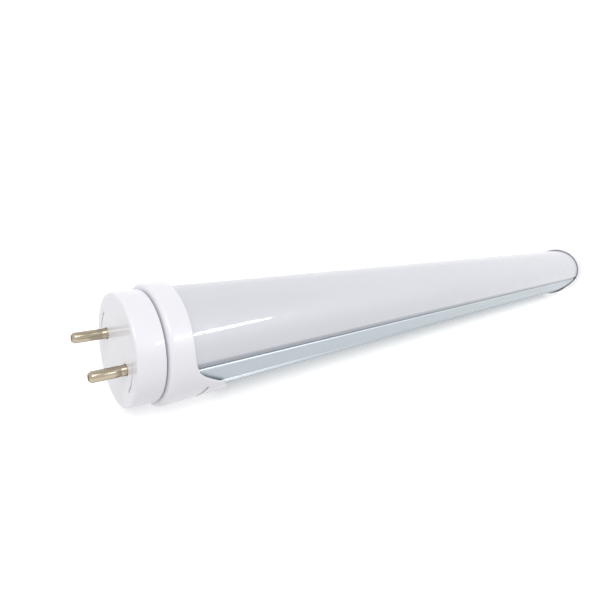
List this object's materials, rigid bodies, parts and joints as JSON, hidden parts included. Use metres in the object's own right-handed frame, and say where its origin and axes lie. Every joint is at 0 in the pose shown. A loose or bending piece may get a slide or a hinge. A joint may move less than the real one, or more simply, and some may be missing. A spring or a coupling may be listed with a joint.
{
  "type": "led light tube",
  "caption": "Straight LED light tube with a ribbed aluminium back, an opal diffuser, and a white two-pin cap at each end whose pin ring turns.",
  "frame": {"origin": "centre of the tube's overall box, on the tube's axis", "axes": "+X along the tube from the near cap to the far cap, +Z out of the middle of the diffuser, -Z out of the middle of the ribbed back"},
  "size_m": [0.3022, 0.0282, 0.0282],
  "materials": {
    "heat_sink_aluminium": "satin bluish-grey extrusion, ribbed along its length",
    "opal_diffuser": "satin opal polycarbonate, pale grey with a lavender tint",
    "white_board": "white solder mask",
    "led_package": "yellow phosphor in a white package",
    "green_board": "green solder mask",
    "black_sleeve": "thin black shrink sleeve",
    "resistor_coating": "dull green enamel",
    "black_moulding": "fine matt epoxy moulding",
    "ferrite": "dull dark grey ferrite",
    "film_capacitor_case": "yellow moulded case",
    "capacitor_can": "dark shrink sleeve on a can",
    "winding_tape": "yellow polyester tape",
    "brown_insulation": "brown insulation",
    "blue_insulation": "blue insulation",
    "red_insulation": "red insulation",
    "black_insulation": "black insulation",
    "cap_plastic": "glossy white moulding with a faint lavender tint",
    "spring_steel": "plain spring steel",
    "pin_metal": "brass under dull nickel plating",
    "screw_steel": "zinc-plated steel"
  },
  "bodies": {
    "tube": {"heat_sink": "heat_sink_aluminium", "diffuser": "opal_diffuser", "led_board": "white_board", "led_01": "led_package", "led_02": "led_package", "led_03": "led_package", "led_04": "led_package", "led_05": "led_package", "led_06": "led_package", "led_07": "led_package", "led_08": "led_package", "led_09": "led_package", "led_10": "led_package", "led_11": "led_package", "led_12": "led_package", "led_13": "led_package", "led_14": "led_package", "led_15": "led_package", "led_16": "led_package", "led_17": "led_package", "led_18": "led_package", "led_19": "led_package", "led_20": "led_package", "led_21": "led_package", "led_22": "led_package", "led_23": "led_package", "led_24": "led_package", "driver_board": "green_board", "driver_sleeve": "black_sleeve", "fuse_resistor": "resistor_coating", "bridge_rectifier": "black_moulding", "input_choke": "ferrite", "film_capacitor": "film_capacitor_case", "input_capacitor": "capacitor_can", "transformer_core": "ferrite", "transformer_winding": "winding_tape", "controller_chip": "black_moulding", "output_capacitor": "capacitor_can", "live_wire": "brown_insulation", "neutral_wire": "blue_insulation", "led_plus_wire": "red_insulation", "led_minus_wire": "black_insulation", "near_collar": "cap_plastic", "near_cap_screw_1": "screw_steel", "near_cap_screw_2": "screw_steel", "far_collar": "cap_plastic", "far_cap_screw_1": "screw_steel", "far_cap_screw_2": "screw_steel"},
    "near_pin_end": {"near_pin_ring": "cap_plastic", "near_pin_1": "pin_metal", "near_pin_2": "pin_metal", "near_clip": "spring_steel"},
    "far_pin_end": {"far_pin_ring": "cap_plastic", "far_pin_1": "pin_metal", "far_pin_2": "pin_metal", "far_clip": "spring_steel"}
  },
  "joints": [
    {"name": "near_ring_turn", "type": "hinge", "parent": "tube", "child": "near_pin_end", "pos_m": [-0.144, 0, 0], "axis": [1, 0, 0], "range_deg": [-90, 90]},
    {"name": "far_ring_turn", "type": "hinge", "parent": "tube", "child": "far_pin_end", "pos_m": [0.144, 0, 0], "axis": [1, 0, 0], "range_deg": [-90, 90]}
  ]
}
